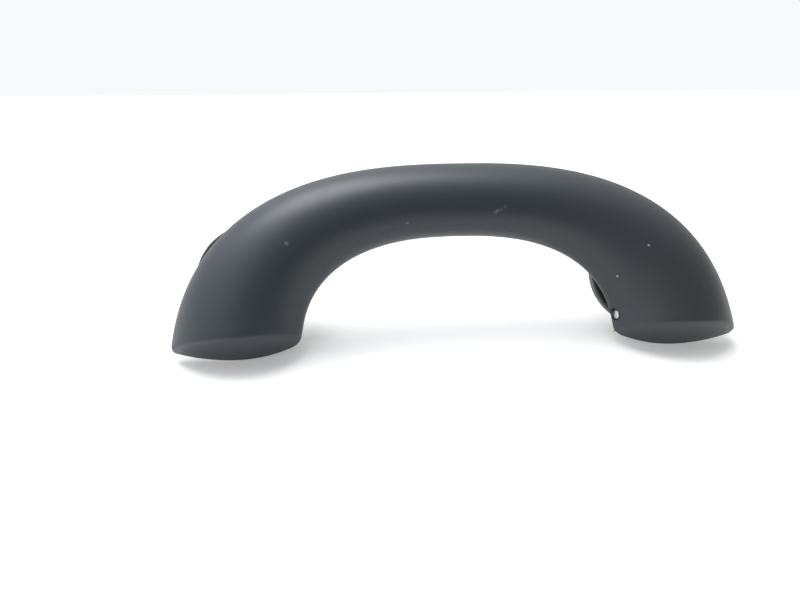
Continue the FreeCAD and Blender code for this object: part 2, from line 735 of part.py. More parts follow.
cover_skin = cover_loft("cover_skin", cover_stations, length_of(0))
cover_hollow = cover_loft("cover_hollow", cover_hollow_stations, cover_wall)
pillars = new_body("cover_pillars")
pillars.AllowCompound = True
pillar_sketch = new_sketch(pillars, "pillar_sketch", "XZ_Plane", -rim_y)
for name, station in screw_stations.items():
    draw_circle(pillar_sketch, station.x, station.z, post_radius)
pad(pillars, pillar_sketch, "pillar_pad", rib_depth, backwards=True)
cover_walls = boolean("Cut", "cover_walls", cover_skin, cover_hollow)
cover_pillars_trimmed = boolean("Common", "cover_pillars_trimmed", pillars, cover_skin)
cover = boolean("Fuse", "cover_joined", cover_walls, cover_pillars_trimmed)
for name, station in screw_stations.items():
    points = [
        (0, -1),
        (screw_radius + screw_gap, -1),
        (screw_radius + screw_gap, screw_seat),
        (screw_head_radius + screw_gap, screw_seat),
        (screw_head_radius + screw_gap, cover_crown + 2),
        (0, cover_crown + 2),
    ]
    hole = turned_piece(name + "_cover_hole", points, "V_Axis", station.x, rim_y, station.z)
    cover = boolean("Cut", name + "_cover_cut", cover, hole)
pieces["grip_rear_cover"] = cover

# Cover screws: pan heads with a cross recess. Their threads cut into the shell's posts.
for name, station in screw_stations.items():
    label = "cover_screw_" + name
    points = [
        (0, -screw_length),
        (screw_radius - screw_tip, -screw_length),
        (screw_radius, screw_tip - screw_length),
        (screw_radius, 0),
        (screw_head_radius, 0),
        (screw_head_radius, screw_head / 2),
        (screw_head_radius - screw_head / 2, screw_head),
        (0, screw_head),
    ]
    screw = turned_piece(label, points, "V_Axis", station.x, rim_y + screw_seat, station.z)
    cross = new_sketch(screw, label + "_cross", "XZ_Plane", -screw_head)
    draw_polygon(
        cross,
        [
            (recess_slot, -recess_arm),
            (recess_slot, -recess_slot),
            (recess_arm, -recess_slot),
            (recess_arm, recess_slot),
            (recess_slot, recess_slot),
            (recess_slot, recess_arm),
            (-recess_slot, recess_arm),
            (-recess_slot, recess_slot),
            (-recess_arm, recess_slot),
            (-recess_arm, -recess_slot),
            (-recess_slot, -recess_slot),
            (-recess_slot, -recess_arm),
        ],
    )
    pocket(screw, cross, label + "_recess", recess_deep, backwards=True)
    pieces[label] = screw

# Hinge brackets: a round plate with a forked arm, cast in one piece.
ear_sine = sine(ear_slope)
ear_cosine = cosine(ear_slope)
ear_tangent = ear_sine / ear_cosine
leg_sine = sine(spring_leg_slope)
leg_cosine = cosine(spring_leg_slope)
ear_low_y = pin_y + ear_radius * ear_sine
ear_low_z = pin_z - ear_radius * ear_cosine
ear_high_y = pin_y - ear_radius * ear_sine
ear_high_z = pin_z + ear_radius * ear_cosine
ear_root_y = -plate_thickness / 2
plate_front = -plate_thickness


def ear_edge_z(edge_y, edge_z, y):
    """Level of one sloping edge of the ear at a depth."""
    return edge_z + (y - edge_y) * ear_tangent


bar_y = pin_y - coil_radius * leg_sine + bar_reach * leg_cosine - (wire_radius + bar_radius) * leg_sine
bar_z = pin_z + coil_radius * leg_cosine + bar_reach * leg_sine + (wire_radius + bar_radius) * leg_cosine


def make_bracket(label, side):
    body = new_body(label)
    plate = new_sketch(body, label + "_plate", "XZ_Plane")
    draw_circle(plate, 0, 0, plate_radius)
    draw_circle(plate, 0, 0, screw_hole_radius)
    pad(body, plate, label + "_plate_pad", plate_thickness)
    arm = new_sketch(body, label + "_arm", "YZ_Plane")
    draw_polygon(
        arm,
        [
            (ear_low_y, ear_low_z),
            (ear_root_y, ear_edge_z(ear_low_y, ear_low_z, ear_root_y)),
            (ear_root_y, ear_edge_z(ear_high_y, ear_high_z, ear_root_y)),
            (ear_high_y, ear_high_z),
        ],
    )
    pad(body, arm, label + "_arm_pad", ear_outer * 2, both_ways=True)
    barrel = new_sketch(body, label + "_barrel", "YZ_Plane")
    draw_circle(barrel, pin_y, pin_z, ear_radius)
    pad(body, barrel, label + "_barrel_pad", ear_outer * 2, both_ways=True)
    fork = new_sketch(body, label + "_fork", "YZ_Plane")
    draw_box(fork, -rib_depth, plate_front, -rib_depth, rib_depth)
    pocket(body, fork, label + "_fork_cut", ear_inner * 2, both_ways=True)
    bore = new_sketch(body, label + "_bore", "YZ_Plane")
    draw_circle(bore, pin_y, pin_z, bush_radius)
    pocket(body, bore, label + "_bore_cut", rib_depth * 2, both_ways=True)
    bar = new_sketch(body, label + "_bar", "YZ_Plane")
    draw_circle(bar, bar_y, bar_z, bar_radius)
    pad(body, bar, label + "_bar_pad", ear_inner * 2 + 1, both_ways=True)
    post = new_sketch(body, label + "_post", "XZ_Plane", plate_thickness / 2)
    draw_circle(post, 0, stop_z, stop_post_radius)
    pad(body, post, label + "_post_pad", -stop_post_y - plate_thickness / 2)
    socket = new_sketch(body, label + "_socket", "XZ_Plane", -stop_post_y)
    draw_circle(socket, 0, stop_z, buffer_stem_radius)
    pocket(body, socket, label + "_socket_cut", buffer_stem)
    peg = new_sketch(body, label + "_peg", "XZ_Plane")
    draw_circle(peg, 0, -peg_drop, peg_radius)
    pad(body, peg, label + "_peg_pad", peg_length, backwards=True)
    place(body, mount_x * side, 0, 0)
    return body


def make_rosette(label, side):
    body = new_body(label)
    inner = rosette_radius - rosette_wall
    face = -rosette_depth
    points = [
        (0, face + rosette_wall),
        (inner, face + rosette_wall),
        (inner, 0),
        (rosette_radius, 0),
        (rosette_radius, face),
        (0, face),
    ]
    sketch = new_sketch(body, label + "_profile", "XY_Plane")
    draw_polygon(sketch, points)
    revolve(body, sketch, label + "_turn", "V_Axis")
    window = new_sketch(body, label + "_window", "XZ_Plane")
    window_low = ear_edge_z(ear_low_y, ear_low_z, face) - trim_gap
    window_high = ear_edge_z(ear_high_y, ear_high_z, face + rosette_wall) + trim_gap
    draw_box(window, -(ear_outer + trim_gap), ear_outer + trim_gap, window_low, window_high)
    draw_circle(window, 0, stop_z, stop_post_radius + trim_gap)
    pocket(body, window, label + "_window_cut", rosette_depth * 4, both_ways=True)
    round_edges(body, label + "_round", rosette_round, lambda edge: at_radius(edge, rosette_radius, face))
    place(body, mount_x * side, 0, 0)
    return body


def at_radius(edge, radius, y):
    """Whether an edge is the circle of one radius about the Y axis at one depth."""
    if not isinstance(edge.Curve, Part.Circle):
        return False
    return abs(edge.Curve.Radius - radius.value) < 0.001 and abs(edge.Curve.Center.y - y.value) < 0.001


def round_edges(body, name, radius, chosen):
    """Fillet the edges that a test picks out."""
    base = body.Tip
    names = ["Edge" + str(n + 1) for n, edge in enumerate(base.Shape.Edges) if chosen(edge)]
    if not names:
        raise RuntimeError(name + " finds no edge")
    feature = body.newObject("PartDesign::Fillet", name)
    feature.Base = (base, names)
    feature.Radius = radius.value
    feature.setExpression("Radius", radius.text)
    doc.recompute()
    return feature


def make_screw_cover(label, side):
    """A snap-in cap over the mounting screw, between the ears."""
    body = new_body(label)
    half_width = ear_inner - trim_gap
    half_height = screw_cover_half_height
    outer = new_sketch(body, label + "_outer", "XZ_Plane", plate_thickness)
    draw_box(outer, -half_width, half_width, -half_height, half_height)
    pad(body, outer, label + "_outer_pad", screw_cover_depth)
    front = -(plate_thickness + screw_cover_depth)
    round_edges(
        body,
        label + "_round",
        screw_cover_round,
        lambda edge: all(abs(vertex.Point.y - front.value) < 0.001 for vertex in edge.Vertexes),
    )
    well = new_sketch(body, label + "_well", "XZ_Plane", plate_thickness)
    inner_width = half_width - screw_cover_wall
    inner_height = half_height - screw_cover_wall
    draw_box(well, -inner_width, inner_width, -inner_height, inner_height)
    pocket(body, well, label + "_well_cut", screw_cover_depth - screw_cover_wall, backwards=True)
    place(body, mount_x * side, 0, 0)
    return body


for side, hand in ((-1, "left"), (1, "right")):
    pieces[hand + "_hinge_bracket"] = make_bracket(hand + "_hinge_bracket", side)
    pieces[hand + "_rosette"] = make_rosette(hand + "_rosette", side)
    pieces[hand + "_screw_cover"] = make_screw_cover(hand + "_screw_cover", side)
    buffer_points = [
        (0, stop_post_y + buffer_stem - 0.2),
        (buffer_stem_radius, stop_post_y + buffer_stem - 0.2),
        (buffer_stem_radius, stop_post_y),
        (buffer_radius, stop_post_y),
        (buffer_tip_radius, stop_face_y + stop_gap),
        (0, stop_face_y + stop_gap),
    ]
    label = hand + "_stop_buffer"
    pieces[label] = turned_piece(label, buffer_points, "V_Axis", mount_x * side, 0, stop_z)

    # Hinge pin, its two bushes and the clip on its outer end.
    start = cheek_x + (pin_inset if side > 0 else blind_inset + pin_end_gap) - mount_x
    groove = web_outer + pin_end_gap
    groove_end = groove + clip_thickness + pin_end_gap * 2
    end = groove_end + pin_tail
    pin_points = [
        (start * side, 0),
        (start * side, pin_radius - pin_chamfer),
        ((start + pin_chamfer) * side, pin_radius),
        (groove * side, pin_radius),
        (groove * side, groove_radius),
        (groove_end * side, groove_radius),
        (groove_end * side, pin_radius),
        ((end - pin_chamfer) * side, pin_radius),
        (end * side, pin_radius - pin_chamfer),
        (end * side, 0),
    ]
    label = hand + "_hinge_pin"
    pieces[label] = turned_piece(label, pin_points, "H_Axis", mount_x * side, pin_y, pin_z)
    for way, where in ((-side, "inner"), (side, "outer")):
        bush_points = [
            (ear_inner * way, bore_radius),
            (ear_inner * way, bush_radius),
            (ear_outer * way, bush_radius),
            (ear_outer * way, bush_flange_radius),
            ((ear_outer + bush_flange) * way, bush_flange_radius),
            ((ear_outer + bush_flange) * way, bore_radius),
        ]
        label = hand + "_" + where + "_pin_bush"
        pieces[label] = turned_piece(label, bush_points, "H_Axis", mount_x * side, pin_y, pin_z)
    label = hand + "_pin_clip"
    clip = new_body(label)
    clip_start = (groove + pin_end_gap) * side
    clip_sketch = new_sketch(clip, label + "_ring", "YZ_Plane", clip_start)
    draw_circle(clip_sketch, 0, 0, clip_radius)
    draw_circle(clip_sketch, 0, 0, groove_radius + pin_end_gap)
    pad(clip, clip_sketch, label + "_pad", clip_thickness, backwards=(side < 0))
    slot_sketch = new_sketch(clip, label + "_slot", "YZ_Plane", clip_start)
    draw_box(slot_sketch, -clip_slot / 2, clip_slot / 2, 0, clip_radius + 1)
    pocket(clip, slot_sketch, label + "_slot_cut", clip_thickness * 3, both_ways=True)
    place(clip, mount_x * side, pin_y, pin_z)
    pieces[label] = clip

# Left hinge: a spool on the pin carries the return spring.
spool_half = ear_inner - side_gap
spool_points = [
    (-spool_half, bore_radius),
    (-spool_half, spool_radius),
    (spool_half, spool_radius),
    (spool_half, bore_radius),
]
pieces["left_spring_spool"] = turned_piece(
    "left_spring_spool", spool_points, "H_Axis", -mount_x, pin_y, pin_z
)


def make_spring(label):
    """Close-wound coil with a straight leg at each end, swept along one path."""
    turns = coil_turns - spring_leg_slope.value / 360
    half_length = coil_pitch.value * turns / 2
    radius = coil_radius.value
    coil = Part.makeHelix(coil_pitch.value, half_length * 2, radius)
    start_turn = FreeCAD.Rotation(FreeCAD.Vector(0, 0, 1), 90 + spring_leg_slope.value)
    along_x = FreeCAD.Rotation(FreeCAD.Vector(1, 1, 1), 120)
    coil.Placement = FreeCAD.Placement(FreeCAD.Vector(-half_length, 0, 0), along_x.multiply(start_turn))
    start = FreeCAD.Vector(-half_length, -radius * leg_sine.value, radius * leg_cosine.value)
    end = FreeCAD.Vector(half_length, 0, radius)
    base_end = start + FreeCAD.Vector(0, leg_cosine.value, leg_sine.value) * spring_leg.value
    front_end = end - FreeCAD.Vector(0, spring_front_leg.value, 0)
    legs = [Part.makeLine(base_end, start), Part.makeLine(end, front_end)]
    path = Part.Wire([legs[0]] + coil.Edges + [legs[1]])
    wire_circle = Part.Circle(base_end, start - base_end, wire_radius.value)
    feature = doc.addObject("Part::Feature", label)
    feature.Shape = path.makePipeShell([Part.Wire([wire_circle.toShape()])], True, False)
    place(feature, -mount_x, pin_y, pin_z)
    return feature


pieces["left_return_spring"] = make_spring("left_return_spring")

# Right hinge: an oil damper. Its housing is held by a yoke on the bracket's bar.
damper_half = ear_inner - side_gap
bar_offset = (bar_y.value - pin_y.value, bar_z.value - pin_z.value)
damper_turn = math.degrees(math.atan2(bar_offset[1], bar_offset[0]))
housing = new_body("right_damper_housing")
barrel_sketch = new_sketch(housing, "damper_barrel", "YZ_Plane")
draw_circle(barrel_sketch, 0, 0, damper_radius)
pad(housing, barrel_sketch, "damper_barrel_pad", damper_half * 2, both_ways=True)
yoke_sketch = new_sketch(housing, "damper_yoke", "YZ_Plane")
bar_reach_y = bar_reach * leg_cosine - (coil_radius + wire_radius + bar_radius) * leg_sine
bar_reach_z = bar_reach * leg_sine + (coil_radius + wire_radius + bar_radius) * leg_cosine
bar_square = bar_reach_y * bar_reach_y + bar_reach_z * bar_reach_z
bar_distance = Length(math.sqrt(bar_square.value), "sqrt(" + bar_square.text + ")")
yoke_end = bar_distance + yoke_prong
draw_box(yoke_sketch, damper_bore_radius, yoke_end, -yoke_width / 2, yoke_width / 2)
pad(housing, yoke_sketch, "damper_yoke_pad", yoke_length, both_ways=True)
notch_sketch = new_sketch(housing, "damper_notch", "YZ_Plane")
notch_half = bar_radius + trim_gap / 2
draw_box(notch_sketch, bar_distance - notch_half, yoke_end + 1, -notch_half, notch_half)
pocket(housing, notch_sketch, "damper_notch_cut", yoke_length * 2, both_ways=True)
bore_sketch = new_sketch(housing, "damper_bore", "YZ_Plane", -(damper_half - damper_wall))
draw_circle(bore_sketch, 0, 0, damper_bore_radius)
pocket(housing, bore_sketch, "damper_bore_cut", damper_half * 3, backwards=True)
hole_sketch = new_sketch(housing, "damper_hole", "YZ_Plane")
draw_circle(hole_sketch, 0, 0, pin_radius + rotor_gap)
pocket(housing, hole_sketch, "damper_hole_cut", damper_half * 3, both_ways=True)
place(housing, mount_x, pin_y, pin_z)
housing.Placement.Rotation = FreeCAD.Rotation(FreeCAD.Vector(1, 0, 0), damper_turn)
pieces["right_damper_housing"] = housing

cap_points = [
    (damper_half - cap_thickness, pin_radius + rotor_gap),
    (damper_half - cap_thickness, damper_bore_radius),
    (damper_half, damper_bore_radius),
    (damper_half, pin_radius + rotor_gap),
]
pieces["right_damper_cap"] = turned_piece(
    "right_damper_cap", cap_points, "H_Axis", mount_x, pin_y, pin_z
)
seal_room = seal_wire_radius * 2 + rotor_gap
rotor_start = damper_wall + rotor_gap - damper_half
rotor_end = damper_half - cap_thickness - seal_room
rotor = new_body("right_damper_rotor")
rotor_sketch = new_sketch(rotor, "rotor_profile", "XY_Plane")
draw_polygon(
    rotor_sketch,
    [
        (rotor_start, pin_radius + pin_fit),
        (rotor_start, rotor_radius),
        (rotor_end, rotor_radius),
        (rotor_end, pin_radius + pin_fit),
    ],
)
revolve(rotor, rotor_sketch, "rotor_turn", "H_Axis")
vane_sketch = new_sketch(rotor, "vanes", "XY_Plane", -vane_width / 2)
vane_root = (pin_radius + rotor_radius) / 2
draw_box(vane_sketch, rotor_start, rotor_end, vane_root, vane_radius)
draw_box(vane_sketch, rotor_start, rotor_end, -vane_radius, -vane_root)
pad(rotor, vane_sketch, "vane_pad", vane_width)
place(rotor, mount_x, pin_y, pin_z)
pieces["right_damper_rotor"] = rotor
seal = doc.addObject("Part::Torus", "right_damper_seal")
seal_radius = pin_radius + pin_clearance + seal_wire_radius
seal.Radius1 = seal_radius.value
seal.setExpression("Radius1", seal_radius.text)
seal.Radius2 = seal_wire_radius.value
seal.setExpression("Radius2", seal_wire_radius.text)
seal_x = mount_x + damper_half - cap_thickness - seal_wire_radius
seal.Placement = FreeCAD.Placement(
    FreeCAD.Vector(seal_x.value, pin_y.value, pin_z.value),
    FreeCAD.Rotation(FreeCAD.Vector(0, 1, 0), 90),
)
seal.setExpression("Placement.Base.x", seal_x.text)
seal.setExpression("Placement.Base.y", pin_y.text)
seal.setExpression("Placement.Base.z", pin_z.text)
pieces["right_damper_seal"] = seal

doc.recompute()
for feature in doc.Objects:
    if "Invalid" in feature.State or "Error" in feature.State:
        raise RuntimeError(feature.Name + " has failed")
os.makedirs("parts", exist_ok=True)
for label, piece in pieces.items():
    piece.Label = label
    shape = piece.Shape
    if shape.isNull() or not shape.isValid():
        raise RuntimeError(label + " has no valid shape")
    if len(shape.Solids) != 1:
        raise RuntimeError(label + " is not one solid")
    shape.exportStep("parts/" + label + ".step")
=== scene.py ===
import math

import bmesh
import bpy
from mathutils import Matrix, Vector
from mathutils.bvhtree import BVHTree


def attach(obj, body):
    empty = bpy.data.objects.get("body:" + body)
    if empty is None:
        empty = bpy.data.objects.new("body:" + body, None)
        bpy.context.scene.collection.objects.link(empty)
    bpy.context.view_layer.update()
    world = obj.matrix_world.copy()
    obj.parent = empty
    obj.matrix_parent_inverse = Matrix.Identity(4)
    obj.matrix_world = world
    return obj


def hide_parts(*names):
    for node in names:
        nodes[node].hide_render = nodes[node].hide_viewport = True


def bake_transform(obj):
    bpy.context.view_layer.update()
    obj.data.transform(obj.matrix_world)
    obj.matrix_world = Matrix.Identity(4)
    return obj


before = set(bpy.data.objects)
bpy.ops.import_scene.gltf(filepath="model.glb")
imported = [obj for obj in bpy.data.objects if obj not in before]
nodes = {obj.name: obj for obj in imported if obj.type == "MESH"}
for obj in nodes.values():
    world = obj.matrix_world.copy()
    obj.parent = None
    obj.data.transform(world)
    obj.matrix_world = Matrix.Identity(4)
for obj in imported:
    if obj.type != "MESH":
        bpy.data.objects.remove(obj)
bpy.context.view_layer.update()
# Sizes of the pieces are written in millimetres. Blender and the frame are in metres.
mm = 0.001

# Grip skin
# The smooth outside of the arch: a charcoal injection moulding with a fine satin grain.
# It is one open-backed shell, which turns about the two hinge pins inside its feet.
outer_span, outer_rise, outer_level, outer_power = 110.95, 90.6, -47.8, 2.59
inner_span, inner_rise, inner_level, inner_power = 61.2, 44.5, -29.9, 2.47
leg_end_level = -36.0
outline_steps = 1200
widest_y = -16.0
grip_crown, foot_crown = 13.5, 16.5
rim_round, flank_round = 1.2, 6.0
rim_steps, front_steps = 5, 44
section_size = front_steps + 1 + 2 * rim_steps
foot_centre_x, foot_half_width = 85.8, 24.6
foot_dome, foot_outer_dome = 5.7, 3.9
foot_low, foot_slope = -29.7, math.radians(27)
foot_inner_reach, foot_outer_reach = 25.05, 24.3
foot_inner_round, foot_outer_round = 6.5, 1.8
pin_y, pin_z = -18.0, -17.6


def half_outline(span, rise, level, power):
    """One half of an outline from its top down its leg, as points with the length run so far."""
    points = []
    for step in range(outline_steps + 1):
        turn = math.pi / 2 * (1 - step / outline_steps)
        x = span * math.cos(turn) ** (2 / power)
        z = level + rise * max(math.sin(turn), 0.0) ** (2 / power)
        if z < leg_end_level:
            break
        points.append((x, z))
    points.append((points[-1][0], leg_end_level))
    run = [0.0]
    for (x1, z1), (x2, z2) in zip(points, points[1:]):
        run.append(run[-1] + math.hypot(x2 - x1, z2 - z1))
    return points, run


def point_along(outline, share):
    """The point at a share of a half outline's length."""
    points, run = outline
    wanted = min(max(share, 0.0), 1.0) * run[-1]
    low, high = 0, len(run) - 1
    while high - low > 1:
        middle = (low + high) // 2
        if run[middle] <= wanted:
            low = middle
        else:
            high = middle
    part = (wanted - run[low]) / (run[high] - run[low])
    x1, z1 = points[low]
    x2, z2 = points[high]
    return x1 + part * (x2 - x1), z1 + part * (z2 - z1)


def grip_section(half, crown):
    """Points across the shell from the inner rim over the crowned front to the outer rim."""
    reach = half - flank_round
    radius = (reach ** 2 + crown ** 2 - flank_round ** 2) / (2 * (crown - flank_round))
    centre = radius - crown
    edge = math.atan2(centre, reach)
    front_length = radius * (math.pi - 2 * edge)
    flank_length = flank_round * edge
    section = []
    for step in range(rim_steps):
        turn = math.pi / 2 + math.pi / 2 * step / rim_steps
        section.append((rim_round - half + rim_round * math.cos(turn), rim_round * math.sin(turn)))
    for step in range(front_steps + 1):
        run = (front_length + 2 * flank_length) * step / front_steps
        if run < flank_length:
            turn = math.pi + run / flank_round
            section.append((-reach + flank_round * math.cos(turn), flank_round * math.sin(turn)))
        elif run < flank_length + front_length:
            turn = math.pi + edge + (run - flank_length) / radius
            section.append((radius * math.cos(turn), centre + radius * math.sin(turn)))
        else:
            turn = (run - 2 * flank_length - front_length) / flank_round
            section.append((reach + flank_round * math.cos(turn), flank_round * math.sin(turn)))
    for step in range(rim_steps - 1, -1, -1):
        turn = math.pi / 2 - math.pi / 2 * step / rim_steps
        section.append((half - rim_round + rim_round * math.cos(turn), rim_round * math.sin(turn)))
    return section


outer_half = half_outline(outer_span, outer_rise, outer_level, outer_power)
inner_half = half_outline(inner_span, inner_rise, inner_level, inner_power)


def skin_point(share, index):
    """A point of the skin's right half: share runs from 0 at the arch's top to 1 at its leg's end."""
    outer_x, outer_z = point_along(outer_half, share)
    inner_x, inner_z = point_along(inner_half, share)
    blend = (1 - math.cos(math.pi * min(share, 1.0))) / 2
    crown = grip_crown * (1 - blend) + foot_crown * blend
    half = math.hypot(outer_x - inner_x, outer_z - inner_z) / 2
    across, deep = grip_section(half, crown)[index]
    along_x = (outer_x - inner_x) / (2 * half)
    along_z = (outer_z - inner_z) / (2 * half)
    middle_x = (outer_x + inner_x) / 2
    middle_z = (outer_z + inner_z) / 2
    return Vector((middle_x + along_x * across, widest_y + deep, middle_z + along_z * across))


def foot_level(x):
    """The height of the foot's domed end at the widest plane, with its two rounded corners."""
    out = abs(x) - foot_centre_x
    if out > 0:
        dome, reach, rounding = foot_outer_dome, foot_outer_reach, foot_outer_round
    else:
        dome, reach, rounding = foot_dome, foot_inner_reach, foot_inner_round
    radius = (foot_half_width ** 2 + dome ** 2) / (2 * dome)
    centre = foot_low + radius
    inwards = reach - rounding
    drop = math.sqrt((radius - rounding) ** 2 - inwards ** 2)
    if abs(out) <= inwards * radius / (radius - rounding):
        return centre - math.sqrt(radius ** 2 - out ** 2)
    beyond = min(abs(out) - inwards, rounding)
    return centre - drop - math.sqrt(max(rounding ** 2 - beyond ** 2, 0.0))


def above_foot(point):
    """How far a point is above the sloped end of the foot."""
    return point.z - (widest_y - point.y) * math.tan(foot_slope) - foot_level(point.x)


def on_foot(x, y):
    """The point of the foot's end at one place."""
    return Vector((x, y, foot_level(x) + (widest_y - y) * math.tan(foot_slope)))


# Each line along the skin is cut where it meets the foot's end, found by halving its last stretch.
halvings, leg_start = 40, 0.6
foot_share = []
for index in range(section_size):
    low, high = leg_start, 1.0
    for _ in range(halvings):
        middle = (low + high) / 2
        if above_foot(skin_point(middle, index)) > 0:
            low = middle
        else:
            high = middle
    foot_share.append(low)

along_steps, near_crease = 90, 0.985
half_arch = []
for step in range(along_steps):
    share = step / along_steps * near_crease
    half_arch.append([skin_point(share * foot_share[index], index) for index in range(section_size)])
crease = [skin_point(foot_share[index], index) for index in range(section_size)]
rim_y = widest_y + rim_round
rim_inner, rim_outer = crease[0], crease[-1]


def facet_point(index, part):
    """A point of the foot's end on its way from the crease to the rim."""
    start = crease[index]
    share = (start.x - rim_inner.x) / (rim_outer.x - rim_inner.x)
    goal_x = rim_inner.x + (rim_outer.x - rim_inner.x) * min(max(share, 0.0), 1.0)
    return on_foot(start.x + (goal_x - start.x) * part, start.y + (rim_y - start.y) * part)


# The crease between the front and the foot's end is rounded, and the end runs on to the rim.
crease_length, crease_rows, facet_rows = 1.5, 3, 14
least_reach, most_part = 0.02, 0.5
before_crease, after_crease = [], []
round_loops = [[] for _ in range(crease_rows)]
crease_part = []
for index in range(section_size):
    corner = crease[index]
    up_the_skin = skin_point(foot_share[index] * near_crease, index) - corner
    on_skin = corner + up_the_skin.normalized() * min(crease_length, up_the_skin.length)
    reach = (facet_point(index, 1.0) - corner).length
    part = min(crease_length / max(reach, least_reach), most_part)
    on_facet = facet_point(index, part)
    for number, loop in enumerate(round_loops):
        t = (number + 1) / (crease_rows + 1)
        loop.append(on_skin * (1 - t) ** 2 + corner * (2 * t * (1 - t)) + on_facet * t ** 2)
    before_crease.append(on_skin)
    after_crease.append(on_facet)
    crease_part.append(part)
half_arch += [before_crease] + round_loops + [after_crease]
for row in range(1, facet_rows + 1):
    loop = []
    for index in range(section_size):
        start = crease_part[index]
        loop.append(facet_point(index, start + (1 - start) * row / facet_rows))
    half_arch.append(loop)
left_half = [[Vector((-p.x, p.y, p.z)) for p in loop] for loop in reversed(half_arch[1:])]
skin_loops = left_half + half_arch


def new_piece(name, mesh_or_bmesh):
    """A finished piece at the origin, from a mesh or from a bmesh that this frees."""
    if isinstance(mesh_or_bmesh, bmesh.types.BMesh):
        mesh = bpy.data.meshes.new(name)
        mesh_or_bmesh.to_mesh(mesh)
        mesh_or_bmesh.free()
    else:
        mesh = mesh_or_bmesh
    piece = bpy.data.objects.new(name, mesh)
    bpy.context.scene.collection.objects.link(piece)
    return piece


def evaluated_mesh(piece):
    """The mesh that a piece has after its modifiers or its bevel."""
    bpy.context.view_layer.update()
    return bpy.data.meshes.new_from_object(piece.evaluated_get(bpy.context.evaluated_depsgraph_get()))


def smooth(mesh, sharp_above):
    """Smooth shading, with edges sharper than an angle left sharp."""
    for polygon in mesh.polygons:
        polygon.use_smooth = True
    mesh.set_sharp_from_angle(angle=math.radians(sharp_above))


def made_of(mesh, material):
    """Give a whole mesh one material."""
    mesh.materials.clear()
    mesh.materials.append(material)


# A line of edges at the left foot's rim is drawn out loop by loop to the right foot's rim.
merge_gap, sliver = 0.06, 0.01
skin = bmesh.new()
line = [skin.verts.new(p * mm) for p in skin_loops[0]]
edges = [skin.edges.new(pair) for pair in zip(line, line[1:])]
for loop in skin_loops[1:]:
    grown = bmesh.ops.extrude_edge_only(skin, edges=edges)["geom"]
    edges = [part for part in grown if isinstance(part, bmesh.types.BMEdge)]
    follow = {}
    for vert in (part for part in grown if isinstance(part, bmesh.types.BMVert)):
        for edge in vert.link_edges:
            other = edge.other_vert(vert)
            if other in line:
                follow[other] = vert
    line = [follow[vert] for vert in line]
    for vert, place in zip(line, loop):
        vert.co = place * mm
bmesh.ops.remove_doubles(skin, verts=skin.verts, dist=merge_gap * mm)
bmesh.ops.dissolve_degenerate(skin, edges=skin.edges, dist=sliver * mm)
bmesh.ops.recalc_face_normals(skin, faces=skin.faces)
front_face = min(skin.faces, key=lambda face: face.calc_center_median().y)
if front_face.normal.y > 0:
    bmesh.ops.reverse_faces(skin, faces=skin.faces)
skin_surface = BVHTree.FromBMesh(skin)

# The round recess that shows the end of the right hinge pin, in that leg's inner cheek.
pin_recess_radius, recess_steps = 2.5, 32
cheek_low, cheek_high = 55.0, 68.0
just_inside = 0.998


def from_pin(point):
    """How far a point is from the hinge's line."""
    return math.hypot(point.y - pin_y * mm, point.z - pin_z * mm)


def in_cheek(face):
    """Whether a face lies in the right leg's inner cheek, near the pin."""
    return cheek_low * mm < face.calc_center_median().x < cheek_high * mm


for step in range(recess_steps):
    turn = 2 * math.pi * step / recess_steps
    outward = Vector((0, math.cos(turn), math.sin(turn)))
    around = [
        face for face in skin.faces
        if in_cheek(face) and min(from_pin(vert.co) for vert in face.verts) < pin_recess_radius * mm
    ]
    edge_set = {edge for face in around for edge in face.edges}
    vert_set = {vert for face in around for vert in face.verts}
    spot_on_rim = Vector((0, pin_y, pin_z)) * mm + outward * pin_recess_radius * mm
    bmesh.ops.bisect_plane(
        skin, geom=around + list(edge_set) + list(vert_set), dist=0.0001 * mm,
        plane_co=spot_on_rim, plane_no=outward,
    )
recess_faces = [
    face for face in skin.faces
    if in_cheek(face) and from_pin(face.calc_center_median()) < pin_recess_radius * mm * just_inside
]
bmesh.ops.delete(skin, geom=recess_faces, context="FACES")

grip_skin = new_piece("grip_skin", skin)
skin_wall, fold_out, tuck_in = 1.5, 0.01, 0.1
wall = grip_skin.modifiers.new("wall", "SOLIDIFY")
wall.thickness = skin_wall * mm
wall.offset = -1.0
wall.use_even_offset = False
walled = evaluated_mesh(grip_skin)
grip_skin.modifiers.clear()
# Where the wall's inner side comes out through the skin at the feet's sharp corners, it is put back.
for vert in walled.vertices:
    nearest, normal, _, _ = skin_surface.find_nearest(vert.co)
    if (vert.co - nearest).dot(normal) > fold_out * mm:
        vert.co = nearest - normal * tuck_in * mm
grip_skin.data = walled
smooth(grip_skin.data, sharp_above=38)


